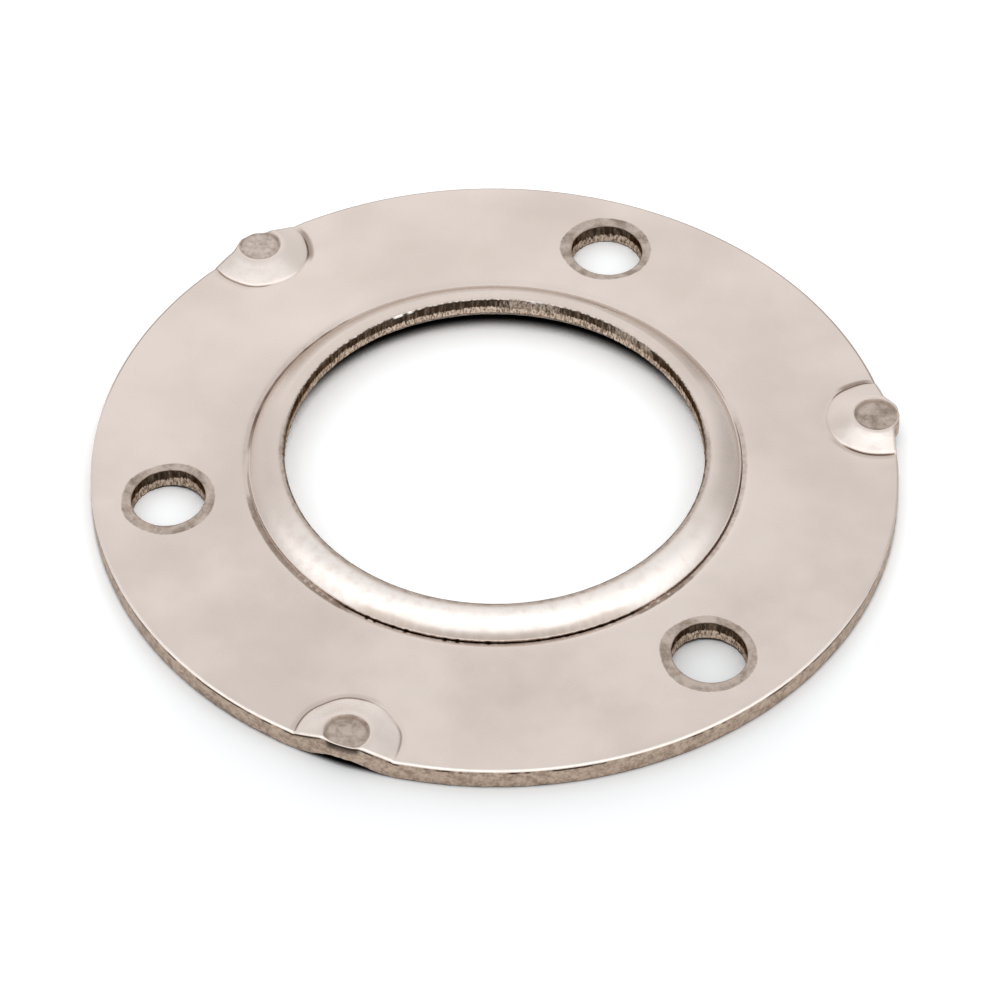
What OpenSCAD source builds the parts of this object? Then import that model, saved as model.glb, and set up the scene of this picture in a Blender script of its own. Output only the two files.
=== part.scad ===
// Round base plate, stamped from one piece of sheet.
// The plate lies on its flat rim, with the underside there on z = 0 and its centre on the z axis.
// Inside the rim it is slightly dished, so that it rises towards the collar.
// A flared collar rises round the centre hole, three screw holes lie on a circle,
// and three raised pads with a round dimple stand at the rim, midway between the holes.

/* [Plate] */
// Diameter of the plate
plate_d = 80; // [76:0.5:110]
// Thickness of the sheet
sheet_t = 2.3; // [1.8:0.1:3]
// Roll-over radius on the upper outer edge
rim_roll = 0.35; // [0.1:0.05:0.6]
// Bevel on the lower outer edge
rim_bevel = 0.12; // [0.05:0.01:0.3]
// Width of the flat rim outside the dished part
rim_flat_w = 4; // [3:0.1:5]
// Rise of the dished part, from the flat rim to the collar
dish_rise = 0.6; // [0.2:0.05:0.9]

/* [Collar] */
// Diameter of the centre hole
bore_d = 41.6; // [36:0.1:44]
// Rise of the collar above the flat rim
collar_rise = 2.2; // [2:0.1:2.8]
// Width of the flare, from its level lip to its steep foot
flare_w = 3.2; // [2.4:0.1:4.5]
// Roll-over radius where the lip turns down into the hole
bore_roll = 0.25; // [0.1:0.05:0.5]
// Height of the hole's wall, from the top of the lip to its lower edge
bore_wall = 2; // [1.6:0.05:2.6]
// Bend radius on the underside of the flare
hollow_radius = 2.3; // [0.8:0.1:3]

/* [Crease round the collar] */
// Height of the narrow ledge between the foot of the flare and the crease
ledge_rise = 0.15; // [0:0.05:0.3]
// Width of the ledge
ledge_w = 0.1; // [0.05:0.05:0.4]
// Width of the fine crease
crease_w = 0.2; // [0.1:0.02:0.3]
// Depth of the fine crease
crease_depth = 0.25; // [0.1:0.05:0.4]
// Width of the coined band outside the crease
band_w = 0.55; // [0.3:0.05:0.9]
// Drop of the coined band towards the crease
band_drop = 0.12; // [0.05:0.01:0.2]

/* [Screw holes] */
// Number of screw holes, and of the pads between them
hole_count = 3; // [2:1:4]
// Distance from the edge of the plate to the centre of a screw hole
hole_inset = 7.5; // [6:0.1:8.5]
// Diameter of a screw hole
hole_d = 7.3; // [5:0.1:8]
// Diameter of the coined ring round a screw hole
coin_d = 9.3; // [8.6:0.1:10]
// Depth of the coined ring at the edge of the hole
coin_depth = 0.1; // [0.06:0.02:0.3]

/* [Rim pads] */
// Distance from a pad's centre to the edge of the plate
pad_inset = 1.35; // [1:0.05:2]
// Diameter of a pad at its foot
pad_d = 10; // [9:0.1:12]
// Slope of the pad in degrees
pad_slope = 18.5; // [17:0.5:26]
// Diameter of the dimple in the pad
dimple_d = 4.5; // [3.8:0.1:5]
// Height of the dimple's floor above the plate
dimple_floor = 0.65; // [0.3:0.05:0.75]
// Draft of the dimple's wall, from the floor to the rim of the dimple
dimple_draft = 0.15; // [0.05:0.01:0.25]
// Rise of the hollow under a pad
pad_hollow = 1.4; // [0.8:0.05:1.6]
// Diameter of the hollow at its flat top
hollow_top_d = 3.2; // [2.4:0.1:4]
// How much less wide than the pad the foot of its hollow is, on each side
hollow_foot_inset = 0.2; // [0:0.05:0.4]
// How far the dimple bulges past the edge of the plate
bulge_reach = 0.7; // [0.3:0.05:1]
// Half the width of the bulge at the edge
bulge_half_w = 2.3; // [1.6:0.1:2.6]

/* [Hidden] */
$fn = 96;
// Steps in the arc of a bend or a roll-over
arc_steps = 8;
// Overlap that keeps cuts and joints from sharing a face
lap = 0.5;
steel = [0.8, 0.75, 0.71];

plate_r = plate_d / 2;
bore_r = bore_d / 2;
dish_r = plate_r - rim_flat_w;
web_top = sheet_t + dish_rise;
ledge_top = web_top + ledge_rise;
lip_top = sheet_t + collar_rise;
bore_foot = lip_top - bore_wall;
lip_r = bore_r + bore_roll;
// The flare is one arc, level at the lip and steepest at the foot
flare_rise = lip_top - ledge_top;
flare_radius = (pow(flare_w, 2) + pow(flare_rise, 2)) / (2 * flare_rise);
flare_slope = 2 * atan(flare_rise / flare_w);
crease_r = lip_r + flare_w + ledge_w + crease_w / 2;
band_r = crease_r + crease_w / 2 + band_w;
hollow_corner_r = bore_r + (bore_foot - dish_rise) / tan(flare_slope);
hollow_r = hollow_corner_r + hollow_radius * tan(flare_slope / 2);

hole_circle_r = plate_r - hole_inset;
dish_slope = atan(dish_rise / (dish_r - band_r));
hole_top = sheet_t + max(0, dish_r - hole_circle_r) * tan(dish_slope);
pad_r = plate_r - pad_inset;
pad_top = (pad_d - dimple_d) / 2 * tan(pad_slope);
pad_turn = 180 / hole_count;
first_hole = 90;
bulge_sag = bulge_reach + plate_r - sqrt(pow(plate_r, 2) - pow(bulge_half_w, 2));
bulge_r = (pow(bulge_half_w, 2) + pow(bulge_sag, 2)) / (2 * bulge_sag);

// Points on an arc, from one angle to another
function arc(centre, radius, from, to) = [
    for (i = [0:arc_steps])
        let (a = from + (to - from) * i / arc_steps)
            centre + radius * [cos(a), sin(a)]
];

// Half section of the ring, from the lower edge of the rim over the top and back underneath
function ring_section() = concat(
    [[plate_r - rim_bevel, 0], [plate_r, rim_bevel]],
    arc([plate_r - rim_roll, sheet_t - rim_roll], rim_roll, 0, 90),
    [
        [dish_r, sheet_t],
        [band_r, web_top],
        [crease_r + crease_w / 2, web_top - band_drop],
        [crease_r, web_top - crease_depth],
        [crease_r - crease_w / 2, ledge_top]
    ],
    arc([lip_r, lip_top - flare_radius], flare_radius, 90 - flare_slope, 90),
    arc([lip_r, lip_top - bore_roll], bore_roll, 90, 180),
    [[bore_r, bore_foot]],
    arc([hollow_r, dish_rise + hollow_radius], hollow_radius, 270 - flare_slope, 270),
    [[dish_r, 0]]
);

module ring() {
    rotate_extrude() polygon(ring_section());
}

// Everything within the outline of the plate and its bulges
module outline(height) {
    cylinder(r = plate_r, h = height);
    at_pads()
        translate([plate_r + bulge_reach - bulge_r, 0, 0])
            cylinder(r = bulge_r, h = height);
}

module at_holes() {
    for (i = [0:hole_count - 1])
        rotate(first_hole + i * 360 / hole_count) children();
}

module at_pads() {
    rotate(pad_turn) at_holes() children();
}

// A pad before its hollow and dimple are pressed in; its flank runs on below the plate's
// top, so that it also meets the rolled edge of the rim
module pad_boss() {
    top_r = dimple_d / 2 - dimple_draft;
    rotate_extrude() polygon([
        [0, pad_hollow / 2],
        [top_r, pad_hollow / 2],
        [pad_d / 2 + rim_roll / tan(pad_slope), sheet_t - rim_roll],
        [top_r, sheet_t + (pad_d / 2 - top_r) * tan(pad_slope)],
        [0, sheet_t + (pad_d / 2 - top_r) * tan(pad_slope)]
    ]);
}

module pad_hollow_cut() {
    foot = pad_d / 2 - hollow_foot_inset;
    run = (foot - hollow_top_d / 2) / pad_hollow;
    rotate_extrude() polygon([
        [0, -lap],
        [foot + lap * run, -lap],
        [hollow_top_d / 2, pad_hollow],
        [0, pad_hollow]
    ]);
}

// The dimple, whose wall leans out by the draft over the height of the pad
module dimple_cut() {
    depth = pad_top - dimple_floor;
    lean = dimple_draft / depth;
    translate([0, 0, sheet_t + dimple_floor])
        cylinder(r1 = dimple_d / 2 - dimple_draft, r2 = dimple_d / 2 + lap * lean, h = depth + lap);
}

// A screw hole with its coined ring, which lies on the slope of the dish; the ring's cone
// runs on into the hole
module hole_cut() {
    coin_w = (coin_d - hole_d) / 2;
    grow = coin_w / coin_depth;
    translate([0, 0, -lap])
        cylinder(d = hole_d, h = hole_top + 2 * lap);
    translate([0, 0, hole_top])
        rotate([0, dish_slope, 0])
            translate([0, 0, -2 * coin_depth])
                cylinder(r1 = hole_d / 2 - coin_w, r2 = coin_d / 2 + lap * grow, h = 2 * coin_depth + lap);
}

module base_plate() {
    color(steel)
        difference() {
            union() {
                ring();
                intersection() {
                    outline(lip_top);
                    at_pads() translate([pad_r, 0, 0]) pad_boss();
                }
            }
            at_pads() translate([pad_r, 0, 0]) pad_hollow_cut();
            at_pads() translate([pad_r, 0, 0]) dimple_cut();
            at_holes() translate([hole_circle_r, 0, 0]) hole_cut();
        }
}

base_plate();
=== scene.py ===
import math

import bpy
import numpy as np
from mathutils import Matrix, Vector, noise
from mathutils.geometry import delaunay_2d_cdt


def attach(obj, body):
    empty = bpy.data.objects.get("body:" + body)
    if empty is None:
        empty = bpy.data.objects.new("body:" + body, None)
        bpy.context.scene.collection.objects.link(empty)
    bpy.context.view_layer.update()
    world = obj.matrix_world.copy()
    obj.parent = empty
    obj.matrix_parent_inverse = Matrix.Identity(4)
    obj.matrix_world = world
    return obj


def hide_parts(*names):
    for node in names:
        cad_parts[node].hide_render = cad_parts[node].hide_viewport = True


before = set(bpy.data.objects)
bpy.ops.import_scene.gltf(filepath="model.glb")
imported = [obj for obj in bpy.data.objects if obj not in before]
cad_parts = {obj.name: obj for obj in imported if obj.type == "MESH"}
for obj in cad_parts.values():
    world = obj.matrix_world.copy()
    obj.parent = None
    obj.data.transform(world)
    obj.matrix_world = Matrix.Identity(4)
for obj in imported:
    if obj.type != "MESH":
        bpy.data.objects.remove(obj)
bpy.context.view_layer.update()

MM = 0.001

# Camera, from the photograph's perspective: angles in degrees, the rest in millimetres
CAMERA_AZIMUTH = 20.66
CAMERA_ELEVATION = 46.63
CAMERA_ROLL = 0.36
CAMERA_DISTANCE = 447.65
CAMERA_AIM = (-0.52, -3.79)
CAMERA_LENS = 162.54
SENSOR_W = 36.0

# The plate, in millimetres
PLATE_R = 40.0
SHEET = 2.3
RIM_BEVEL = 0.12
# The sheet is flat outside DISH_R and rises from there to BAND_R, softly at first
DISH_R = 36.0
BAND_R = 25.1
DISH_RISE = 0.6
DISH_SOFT = 0.12
# Roll-over of the upper outer edge: its width, its width where a dimple meets it, and the slope
# at which it breaks off
RIM_ROLL_W = 0.28
RIM_ROLL_AT_PAD = 0.12
RIM_ROLL_END = math.radians(42)
RIM_ROLL_STEPS = 6

# Collar round the centre hole
BORE_R = 20.8
BORE_ROLL = 0.25
BORE_ROLL_STEPS = 5
LIP_R = BORE_R + BORE_ROLL
COLLAR_TOP = 4.5
FLARE_W = 3.2
# Height of the lower edge of the hole's wall
BORE_FOOT = 2.62
HOLLOW_RADIUS = 2.3
HOLLOW_STEPS = 6

# Crease and coined band round the collar
LEDGE_RISE = 0.15
LEDGE_W = 0.1
CREASE_W = 0.2
CREASE_DEPTH = 0.25
BAND_W = 0.55
BAND_DROP = 0.12
CREASE_START_R = LIP_R + FLARE_W + LEDGE_W
CREASE_END_R = CREASE_START_R + CREASE_W

# Screw holes
HOLES = 3
FIRST_HOLE = math.radians(90)
HOLE_CIRCLE_R = 32.5
HOLE_R = 3.65
HOLE_ROLL = 0.05
# Radius outside which the underside's triangles start, so that slivers between the torn foot of
# a hole's wall and this radius are missing
HOLE_FOOT_R = 3.75
COIN_R = 4.65
COIN_DEPTH = 0.06
# Radius within which the mesh follows the hole
COIN_FIELD_R = 5.6
# How far each coined ring sits off its hole, and towards which image angle
COIN_SHIFTS = [(0.22, 230), (0.2, 100), (0.25, 115)]
# How much wider than a circle each screw hole is, and towards which image angle
HOLE_OVALS = [(0.2, 90), (0.06, 90), (0.0, 90)]

# Rim pads
PAD_AT = 38.65
PAD_R = 5.0
PAD_SLOPE = math.radians(18.5)
DIMPLE_R = 2.25
DIMPLE_LIP_W = 0.15
DIMPLE_FLOOR = 0.65
PAD_HOLLOW = 1.4
PAD_HOLLOW_R = 4.8
# How far each pad bulges past the edge at its top, and how much further below
BULGES = (0.85, 0.12, 0.88)
BULGES_BELOW = (0.05, 0.25, 0.05)
BULGE_HALF = 2.3

# How dull each dimple is
DIMPLE_DULL = (0.6, 1.0, 1.0)
# How far each dimple sits off its pad, and towards which image angle
DIMPLE_SHIFTS = [(0.28, 268), (0.2, 262), (0.16, 110)]

# The flare is one arc, level at the lip and steepest at the foot
FLARE_RISE = COLLAR_TOP - SHEET - DISH_RISE - LEDGE_RISE
FLARE_RADIUS = (FLARE_W ** 2 + FLARE_RISE ** 2) / (2 * FLARE_RISE)
FLARE_SLOPE = 2 * math.atan(FLARE_RISE / FLARE_W)
FLARE_STEPS = 20

# Points round each closed edge, and rings down each wall
RIM_STEPS = 1200
RIM_LEVELS = 6
BORE_STEPS = 900
BORE_LEVELS = 8
HOLE_STEPS = 168
HOLE_LEVELS = 7
PAD_STEPS = 150
HOLLOW_RING_STEPS = 60
# Pitch of the points that fill the upper face, and of those that fill the underside
FILL_PITCH = 1.1
UNDER_PITCH = 1.65
# Radii of the rings of points on a pad: in its dimple, on its flank, round its foot, and in its hollow
DIMPLE_RADII = [0.5, 1.0, 1.4, 1.7, 1.85, 1.95, 2.08, 2.18, 2.28, 2.4]
FLANK_RADII = [2.85, 3.3, 3.8, 4.4]
FOOT_RADII = [4.75, 4.88, 4.94, 5.0, 5.06, 5.12, 5.25, 5.45, 5.75, 6.2]
HOLLOW_RADII = [0.8, 1.6, 2.05, 2.15, 3.0, 4.0, 4.75, 4.82]
# Radii round a pad inside which the grid of the upper face and of the underside is left out
PAD_FIELD_R = 6.5
HOLLOW_FIELD_R = 5.2
# How far the points of each kind stay away from the closed edges
FILL_GAP = 0.45
PAD_GAP = 0.08
UNDER_GAP = 0.5
HOLLOW_GAP = 0.12

# Kinds of surface, in the order of the piece's material slots
TOP, WALL, RIM, UNDER = range(4)
# Edges between faces that meet at more than this angle look sharp
SHARP_ANGLE = math.radians(38)


def smooth_step(low, high, x):
    """0 at low, 1 at high, with a soft start and end."""
    t = np.clip((x - low) / (high - low), 0.0, 1.0)
    return t * t * (3 - 2 * t)


def ripple(angle, seed, first, last):
    """A closed random wave round a circle, about -1 to 1, of the orders first to last."""
    rng = np.random.default_rng(seed)
    orders = np.arange(first, last + 1)
    phases = rng.uniform(0, 2 * math.pi, len(orders))
    weights = rng.uniform(0.4, 1.0, len(orders))
    waves = np.cos(np.outer(angle, orders) + phases) * weights
    return waves.sum(axis=1) / np.sqrt(len(orders))


def grain(xyz, size, seed):
    """Smooth noise, about -1 to 1, at points in millimetres."""
    shift = np.array([17.3, 5.1, 9.7]) * seed
    return np.array([noise.noise(Vector(p)) for p in (xyz / size + shift).tolist()])


def angles(steps):
    return np.arange(steps) * 2 * math.pi / steps


def polar(radius, angle, centre=(0.0, 0.0)):
    """Plan points at a radius and angle round a centre."""
    return np.stack([centre[0] + radius * np.cos(angle), centre[1] + radius * np.sin(angle)], axis=1)


def solid(plan, z):
    """Points in space from plan points and their heights."""
    return np.column_stack([plan, np.broadcast_to(z, len(plan))])


def image_angle(x, y, centre=(0.0, 0.0)):
    """Angle of points round a centre as the photograph shows it, in degrees clockwise from its right."""
    return (CAMERA_AZIMUTH - np.degrees(np.arctan2(y - centre[1], x - centre[0]))) % 360


def window(angle, first, last, soft):
    """1 between two angles in degrees and 0 away from them, with soft ends."""
    middle = (first + last) / 2
    half = (last - first) / 2
    away = np.abs((angle - middle + 180) % 360 - 180)
    return 1 - smooth_step(half - soft / 2, half + soft / 2, away)


def patches(angle, table, soft):
    """Strength by direction of each patch in a table of first angle, last angle and strength."""
    return [strength * window(angle, first, last, soft) for first, last, strength in table]


def station(radius, index, turn=0.0):
    """Centre of a screw hole, or of a pad when turn is half a pitch."""
    angle = FIRST_HOLE + turn + index * 2 * math.pi / HOLES
    return radius * np.array([math.cos(angle), math.sin(angle)])


HOLE_CENTRES = [station(HOLE_CIRCLE_R, i) for i in range(HOLES)]
PAD_CENTRES = [station(PAD_AT, i, math.pi / HOLES) for i in range(HOLES)]

# Painted shade in the creases at each pad's foot and soft painted shade outside them, and painted
# highlights on stretches of its flank: first and last image angle, strength
PAD_CREASES = [
    [(75, 150, 0.62), (330, 372, 0.85)],
    [(190, 296, 0.72), (338, 382, 0.45)],
    [(70, 132, 0.95), (130, 215, 0.2), (215, 268, 0.9)],
]
PAD_SHADES = [
    [(95, 150, 0.3), (318, 372, 0.9)],
    [(188, 305, 0.4), (318, 372, 0.2)],
    [(70, 150, 0.5), (228, 268, 0.95)],
]
PAD_PAINTED_HIGHLIGHTS = [
    [(35, 150, 0.5), (150, 200, 0.3)],
    [(180, 400, 0.25)],
    [(50, 150, 0.62)],
]


def dimple_centre(index):
    """Centre of a pad's dimple."""
    amount, towards = DIMPLE_SHIFTS[index]
    turn = math.radians(CAMERA_AZIMUTH - towards)
    return PAD_CENTRES[index] + amount * np.array([math.cos(turn), math.sin(turn)])


# Pale patches in the dark burnish of the centre hole: first and last image angle, strength
WORN_PATCHES = [(183, 206, 0.4), (271, 290, 0.72), (304, 321, 0.68)]
# Painted glints on its lip: first and last image angle, strength
LIP_GLINTS = [(240.3, 243, 1.0), (244.6, 246, 1.0), (279.8, 281.3, 0.6), (282.2, 283, 0.4)]
# Dull stretches of the coined band round the collar: first and last image angle, strength
BAND_PATCHES = [(-16, 42, 0.5), (42, 57, 1.1), (125, 166, 1.4), (176, 231, 0.4)]

# Zones round the collar: first and last image angle, softness of these ends. The crease zones and
# TEETH set the painted shade of the crease and its teeth; FRONT_TAN is a painted tan shade.
FRONT = (-12, 192, 30)
CREASE_CRISP = (-12, 176, 12)
CREASE_FADED = (132, 178, 12)
CREASE_DARK = (55, 126, 10)
CREASE_DARKER_RIGHT = (2, 46, 16)
TEETH = (44, 142, 8)
FOOT_DARK_PATCH = (183, 231, 16)
BAND_PRESSED = (-20, 228, 20)
FRONT_TAN = (57, 123, 7)
# The painted tan shade on the front of the flare starts at this radius, and a little further in at its
# ends
FRONT_TAN_R = 23.72
FRONT_TAN_ENDS = [(58, 72, 12), (110, 120, 9)]

# Radius just past the foot of the flare
FLARE_STOP_R = 24.4
# Zones of the flare in each mask: first and last image angle, softness of these ends, strength,
# radius where the zone starts, where it is full, and where it stops. On the front they give a
# painted highlight and a matte, darker lip; on the right and at the back a painted tan shade, and
# more painted shade on the back of the foot.
FLARE_ZONES = {
    "matte": [(-12, 192, 30, 0.62, 21.75, 21.1, FLARE_STOP_R)],
    "polish": [
        (28, 152, 30, 0.75, 21.25, 21.8, 24.3),
        (38, 57, 8, 0.75, 21.25, 21.8, 24.3),
        (122, 140, 8, 0.75, 21.25, 21.8, 24.3),
    ],
    "tan": [
        (-2, 19, 8, 0.45, 21.8, 22.8, FLARE_STOP_R),
        (205, 334, 12, 1.0, 22.2, 22.75, FLARE_STOP_R),
        (298, 335, 6, 1.0, 22.05, 22.4, FLARE_STOP_R),
        (195, 340, 20, 0.45, 22.15, 21.85, FLARE_STOP_R),
    ],
    "dark": [
        (-12, 192, 30, 0.22, 21.55, 21.3, FLARE_STOP_R),
        (205, 334, 12, 0.2, 22.4, 23.2, FLARE_STOP_R),
    ],
}


class Shell:
    """Collects the points and faces of one mesh, with the masks that its materials read."""

    # Besides the metal's own matte, worn and depth, the masks carry painted shade (the dark one mostly,
    # and the tan one), painted glints and painted highlights
    MASKS = ("matte", "dark", "glint", "depth", "worn", "polish", "tan")

    def __init__(self):
        self.points = []
        self.masks = {name: [] for name in self.MASKS}
        self.count = 0
        self.faces = []
        self.kinds = []

    def add(self, xyz, **masks):
        """Adds points, with one value or a value for each point in a mask, and returns their numbers."""
        n = len(xyz)
        self.points.append(np.asarray(xyz, float))
        for name in self.MASKS:
            self.masks[name].append(np.broadcast_to(masks.get(name, 0.0), n).astype(float))
        self.count += n
        return np.arange(self.count - n, self.count)

    def band(self, inner, outer, kind):
        """Quads between two closed rings of the same count, facing up where inner lies inside outer."""
        after = np.roll(np.arange(len(inner)), -1)
        quads = np.stack([inner, outer, outer[after], inner[after]], axis=1)
        self.faces += quads.tolist()
        self.kinds += [kind] * len(quads)

    def bands(self, rings, kind):
        for inner, outer in zip(rings, rings[1:]):
            self.band(inner, outer, kind)

    def triangles(self, corners, kind):
        self.faces += corners.tolist()
        self.kinds += [kind] * len(corners)

    def build(self, name, materials):
        mesh = bpy.data.meshes.new(name)
        xyz = np.concatenate(self.points) * MM
        mesh.from_pydata(xyz.tolist(), [], self.faces)
        for mask, parts in self.masks.items():
            layer = mesh.attributes.new(mask, "FLOAT", "POINT")
            layer.data.foreach_set("value", np.concatenate(parts))
        for material in materials:
            mesh.materials.append(material)
        mesh.polygons.foreach_set("material_index", self.kinds)
        mesh.polygons.foreach_set("use_smooth", [True] * len(self.faces))
        mesh.set_sharp_from_angle(angle=SHARP_ANGLE)
        piece = bpy.data.objects.new(name, mesh)
        bpy.context.scene.collection.objects.link(piece)
        return piece


def dish(r):
    """Rise of the dished sheet at a radius, with a soft start inside the flat rim."""
    t = np.clip((DISH_R - r) / (DISH_R - BAND_R), 0.0, 1.0)
    eased = np.where(t < DISH_SOFT, t * t / (2 * DISH_SOFT), t - DISH_SOFT / 2)
    return DISH_RISE * eased / (1 - DISH_SOFT / 2)


def web_height(x, y):
    """Upper face of the sheet between its details: flat at the rim, rising towards the collar."""
    return SHEET + dish(np.hypot(x, y))


def pad_rise(d):
    """Height of a pad over the web, by the distance from its centre."""
    slope = math.tan(PAD_SLOPE)
    lip = (PAD_R - DIMPLE_R - DIMPLE_LIP_W) * slope
    # Distance from the centre, and height
    steps = [
        (0.0, DIMPLE_FLOOR - 0.03),
        (1.5, DIMPLE_FLOOR - 0.01),
        (1.9, DIMPLE_FLOOR + 0.03),
        (2.05, DIMPLE_FLOOR + 0.1),
        (2.18, lip - 0.05),
        (2.28, lip - 0.01),
        (2.45, lip - 0.01),
        (2.8, (PAD_R - 2.8) * slope),
        (PAD_R - 0.1, 0.07),
        (PAD_R, -0.05),
        (PAD_R + 0.1, -0.06),
        (PAD_R + 0.5, -0.035),
        (PAD_R + 1.2, 0.0),
    ]
    return np.interp(d, [s[0] for s in steps], [s[1] for s in steps])


def pad_distance(x, y, index):
    """Distance from a pad's centre, with the slight unevenness of its foot taken in."""
    centre = PAD_CENTRES[index]
    d = np.hypot(x - centre[0], y - centre[1])
    uneven = ripple(np.arctan2(y - centre[1], x - centre[0]), 31 + index, 2, 9)
    dimple = dimple_centre(index)
    to_dimple = np.hypot(x - dimple[0], y - dimple[1])
    outside = smooth_step(2.5, 4.0, d)
    return to_dimple * (1 - outside) + d * outside + 0.06 * uneven * smooth_step(2.4, PAD_R, d)


def top_height(x, y):
    """Upper face of the sheet outside the collar and the screw holes."""
    z = web_height(x, y)
    for index in range(HOLES):
        z = z + pad_rise(pad_distance(x, y, index))
    return z


def under_height(x, y):
    """Lower face of the sheet outside the collar's hollow."""
    z = dish(np.hypot(x, y))
    # Distance from a pad's centre, and height
    steps = [
        (0.0, PAD_HOLLOW - 0.1),
        (1.0, PAD_HOLLOW - 0.08),
        (1.45, PAD_HOLLOW),
        (1.75, PAD_HOLLOW - 0.1),
        (2.5, 0.45 * PAD_HOLLOW),
        (3.4, 0.2 * PAD_HOLLOW),
        (PAD_HOLLOW_R, 0.0),
    ]
    for centre in PAD_CENTRES:
        d = np.hypot(x - centre[0], y - centre[1])
        z = z + np.interp(d, [s[0] for s in steps], [s[1] for s in steps])
    return z


def bulge(angle, reaches):
    """How far the plate's edge bulges past its circle at the pads, by direction."""
    reach = np.zeros(len(angle))
    for centre, most in zip(PAD_CENTRES, reaches):
        middle = math.atan2(centre[1], centre[0])
        away = (angle - middle + math.pi) % (2 * math.pi) - math.pi
        across = np.abs(away) * PLATE_R / BULGE_HALF
        reach += most * (1 - smooth_step(0.2, 1.1, across))
    return reach


def rim_roll(angle):
    """Width of the upper edge's roll-over by direction, small where a dimple meets it."""
    at_pad = bulge(angle, (1.0, 1.0, 1.0))
    return RIM_ROLL_W - (RIM_ROLL_W - RIM_ROLL_AT_PAD) * at_pad


def rim_inside(angle):
    """Radius at which the roll-over of the upper edge starts, by direction."""
    return PLATE_R + bulge(angle, BULGES) - rim_roll(angle)


def rim_below(angle):
    """Radius of the lower edge, inside its bevel, by direction."""
    return PLATE_R + bulge(angle, BULGES) + bulge(angle, BULGES_BELOW) - 2 * RIM_BEVEL


def pad_masks(x, y):
    """Matte dimples, painted shade in creases, in dimples and outside the pads' feet, and painted
    highlights on their flanks, for points of the upper face.
    """
    matte = np.zeros(len(x))
    dark = np.zeros(len(x))
    polish = np.zeros(len(x))
    for index, centre in enumerate(PAD_CENTRES):
        d = pad_distance(x, y, index)
        angle = image_angle(x, y, centre)
        outside = d - PAD_R
        dimple = 1 - smooth_step(2.1, 2.3, d)
        far_wall = window(angle, 185, 365, 90) * (1 - smooth_step(0.0, 0.42, np.abs(d - 1.95)))
        flank = smooth_step(2.3, 2.6, d) * (1 - smooth_step(4.8, 5.0, d))
        line = 1 - smooth_step(0.02, 0.14, np.abs(outside - 0.02))
        shade = smooth_step(-0.05, 0.05, outside) * (1 - smooth_step(0.4, 0.75, outside))
        matte = np.maximum(matte, DIMPLE_DULL[index] * dimple)
        # Painted shade on the far wall of each dimple, and darker towards its edge
        dark = np.maximum(dark, 0.42 * far_wall)
        dark = np.maximum(dark, 0.12 * smooth_step(0.9, 2.0, d) * dimple)
        # Painted shade in the crease at the foot and outside it, and painted highlights on the flank
        dark = np.maximum(dark, line * np.max(patches(angle, PAD_CREASES[index], 24), axis=0))
        dark = np.maximum(dark, 0.5 * shade * np.max(patches(angle, PAD_SHADES[index], 20), axis=0))
        polish = np.maximum(polish, flank * np.max(patches(angle, PAD_PAINTED_HIGHLIGHTS[index], 36), axis=0))
    return {"matte": matte, "dark": dark, "polish": polish}


def collar_profile():
    """Upper half section of the collar from its lip outwards, in rows of radius, height, and the
    shares of the band's drop, the crease and the band."""
    web = SHEET + DISH_RISE
    ledge = web + LEDGE_RISE
    rows = []
    for i in range(FLARE_STEPS + 1):
        a = FLARE_SLOPE * i / FLARE_STEPS
        height = COLLAR_TOP - FLARE_RADIUS * (1 - math.cos(a))
        rows.append((LIP_R + FLARE_RADIUS * math.sin(a), height, 0, 0, 0))
    edge = CREASE_START_R
    outer = CREASE_END_R
    rows += [
        (edge - 0.04, ledge, 0, 0, 0),
        (edge + 0.02, ledge - 0.03, 0, 0.15, 0),
        (edge + 0.3 * CREASE_W, web - CREASE_DEPTH, 0, 1, 0),
        (edge + 0.55 * CREASE_W, web - CREASE_DEPTH, 0, 1, 0),
        (outer, web, 1, 0.1, 0.6),
        (outer + 0.15 * BAND_W, web, 0.85, 0, 1),
        (outer + 0.3 * BAND_W, web, 0.7, 0, 1),
        (outer + 0.5 * BAND_W, web, 0.5, 0, 1),
        (outer + 0.75 * BAND_W, web, 0.25, 0, 0.9),
        (outer + BAND_W, web, 0.05, 0, 0.35),
        (outer + 1.25 * BAND_W, web, 0, 0, 0),
        (outer + 1.9 * BAND_W, web, 0, 0, 0),
    ]
    return rows


def flare_mask(name, seen, radius):
    """The strongest of a mask's zones on the flare at a radius, by image angle."""
    strongest = np.zeros(len(seen))
    for first, last, soft, strength, start, full, stop in FLARE_ZONES[name]:
        across = smooth_step(start, full, radius) * (radius < stop)
        strongest = np.maximum(strongest, strength * across * window(seen, first, last, soft))
    return strongest


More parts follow.
